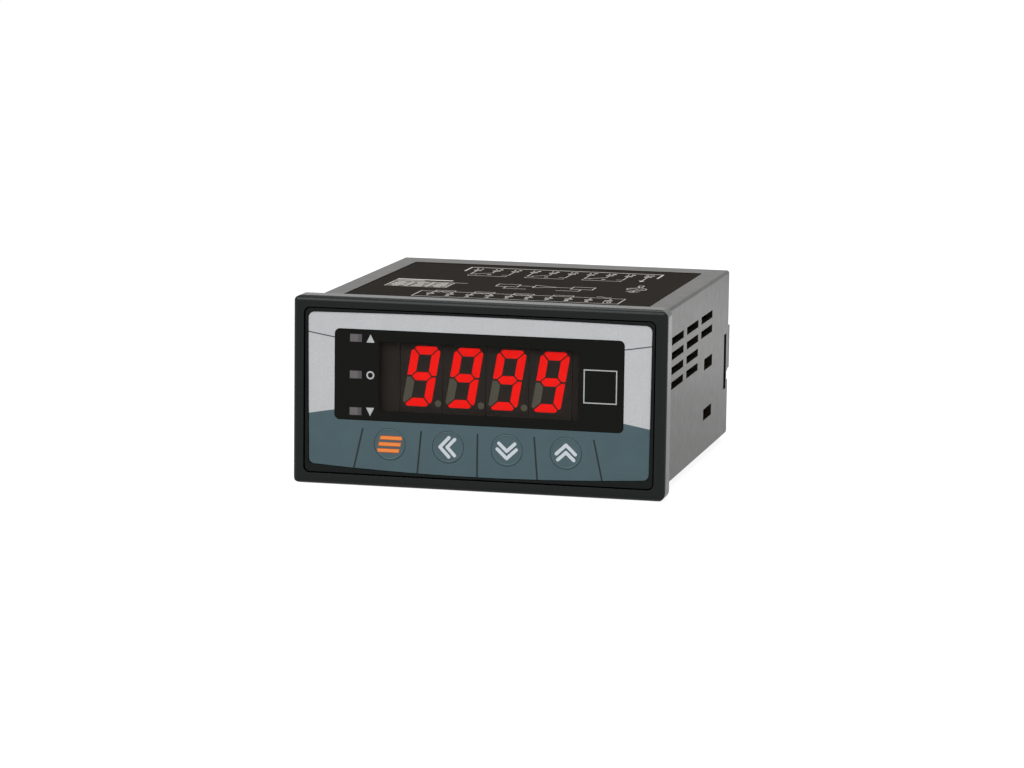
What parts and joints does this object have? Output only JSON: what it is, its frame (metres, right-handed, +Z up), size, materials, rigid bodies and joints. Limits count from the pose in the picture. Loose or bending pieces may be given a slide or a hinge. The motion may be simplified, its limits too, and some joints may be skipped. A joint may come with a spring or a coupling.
{
  "type": "digital panel meter",
  "caption": "Panel-mounted digital meter with a seven-segment display, limit indicators, a row of touch keys and rear screw terminals in a vented housing.",
  "frame": {"origin": "centre of the panel plane, which is the bezel's rear face", "axes": "+X right and +Z up seen from the front, +Y from the display back along the housing"},
  "size_m": [0.096, 0.103, 0.048],
  "materials": {
    "case_plastic": "fine-grained black moulding with a soft sheen",
    "bezel_plastic": "near-black fine satin moulding",
    "plate_plastic": "black satin moulding",
    "film_print": "satin printed film, silver above and blue-grey below",
    "key_print": "satin printed film, blue-grey",
    "window_smoke": "smoked clear pane with a black printed border",
    "label_print": "black printed label with light grey line work",
    "plunger_plastic": "white moulding",
    "switch_plastic": "black switch body",
    "stem_plastic": "ivory switch stem",
    "digit_housing": "black painted display face",
    "segment_lit": "lit red resin filling",
    "segment_unlit": "unlit smoked resin filling",
    "indicator_lens": "unlit grey lens",
    "lamp_body": "small clear lamp",
    "circuit_board": "green solder resist",
    "chip_resin": "black moulding resin with tinned leads",
    "header_plastic": "black moulding",
    "relay_case": "black case",
    "core_steel": "varnished lamination stack",
    "coil_tape": "yellow tape over the winding",
    "capacitor_sleeve": "dark blue sleeve",
    "cover_plastic": "black moulding",
    "terminal_plastic": "black moulding with barriers",
    "contact_brass": "plated brass strip",
    "zinc_steel": "zinc-plated steel"
  },
  "bodies": {
    "base": {"case": "case_plastic", "bezel": "bezel_plastic", "front_plate": "plate_plastic", "face_film": "film_print", "display_window": "window_smoke", "top_label": "label_print", "mode_switch": "switch_plastic", "left_switch": "switch_plastic", "down_switch": "switch_plastic", "up_switch": "switch_plastic", "digit_1": "digit_housing", "digit_2": "digit_housing", "digit_3": "digit_housing", "digit_4": "digit_housing", "display_mask": "digit_housing", "digit_1_lit": "segment_lit", "digit_2_lit": "segment_lit", "digit_3_lit": "segment_lit", "digit_4_lit": "segment_lit", "unlit_segments": "segment_unlit", "indicator_upper": "indicator_lens", "indicator_middle": "indicator_lens", "indicator_lower": "indicator_lens", "indicator_lamps": "lamp_body", "display_board": "circuit_board", "relay_board": "circuit_board", "power_board": "circuit_board", "controller_chip": "chip_resin", "converter_chip": "chip_resin", "upper_header": "header_plastic", "lower_header": "header_plastic", "relay_1": "relay_case", "relay_2": "relay_case", "relay_3": "relay_case", "transformer_core": "core_steel", "transformer_coil": "coil_tape", "capacitor_front": "capacitor_sleeve", "capacitor_rear": "capacitor_sleeve", "rear_cover": "cover_plastic", "terminal_block_upper": "terminal_plastic", "terminal_block_lower": "terminal_plastic", "contacts_upper": "contact_brass", "contacts_lower": "contact_brass", "board_screws": "zinc_steel", "clamps_upper": "zinc_steel", "clamps_lower": "zinc_steel", "terminal_screws_upper": "zinc_steel", "terminal_screws_lower": "zinc_steel"},
    "mode_key": {"mode_pad": "key_print", "mode_plunger": "plunger_plastic", "mode_stem": "stem_plastic"},
    "left_key": {"left_pad": "key_print", "left_plunger": "plunger_plastic", "left_stem": "stem_plastic"},
    "down_key": {"down_pad": "key_print", "down_plunger": "plunger_plastic", "down_stem": "stem_plastic"},
    "up_key": {"up_pad": "key_print", "up_plunger": "plunger_plastic", "up_stem": "stem_plastic"}
  },
  "joints": [
    {"name": "mode_press", "type": "slide", "parent": "base", "child": "mode_key", "axis": [0, 1, 0], "range_m": [0, 0.0003], "stiffness_N_per_m": 1000},
    {"name": "left_press", "type": "slide", "parent": "base", "child": "left_key", "axis": [0, 1, 0], "range_m": [0, 0.0003], "stiffness_N_per_m": 1000},
    {"name": "down_press", "type": "slide", "parent": "base", "child": "down_key", "axis": [0, 1, 0], "range_m": [0, 0.0003], "stiffness_N_per_m": 1000},
    {"name": "up_press", "type": "slide", "parent": "base", "child": "up_key", "axis": [0, 1, 0], "range_m": [0, 0.0003], "stiffness_N_per_m": 1000}
  ]
}
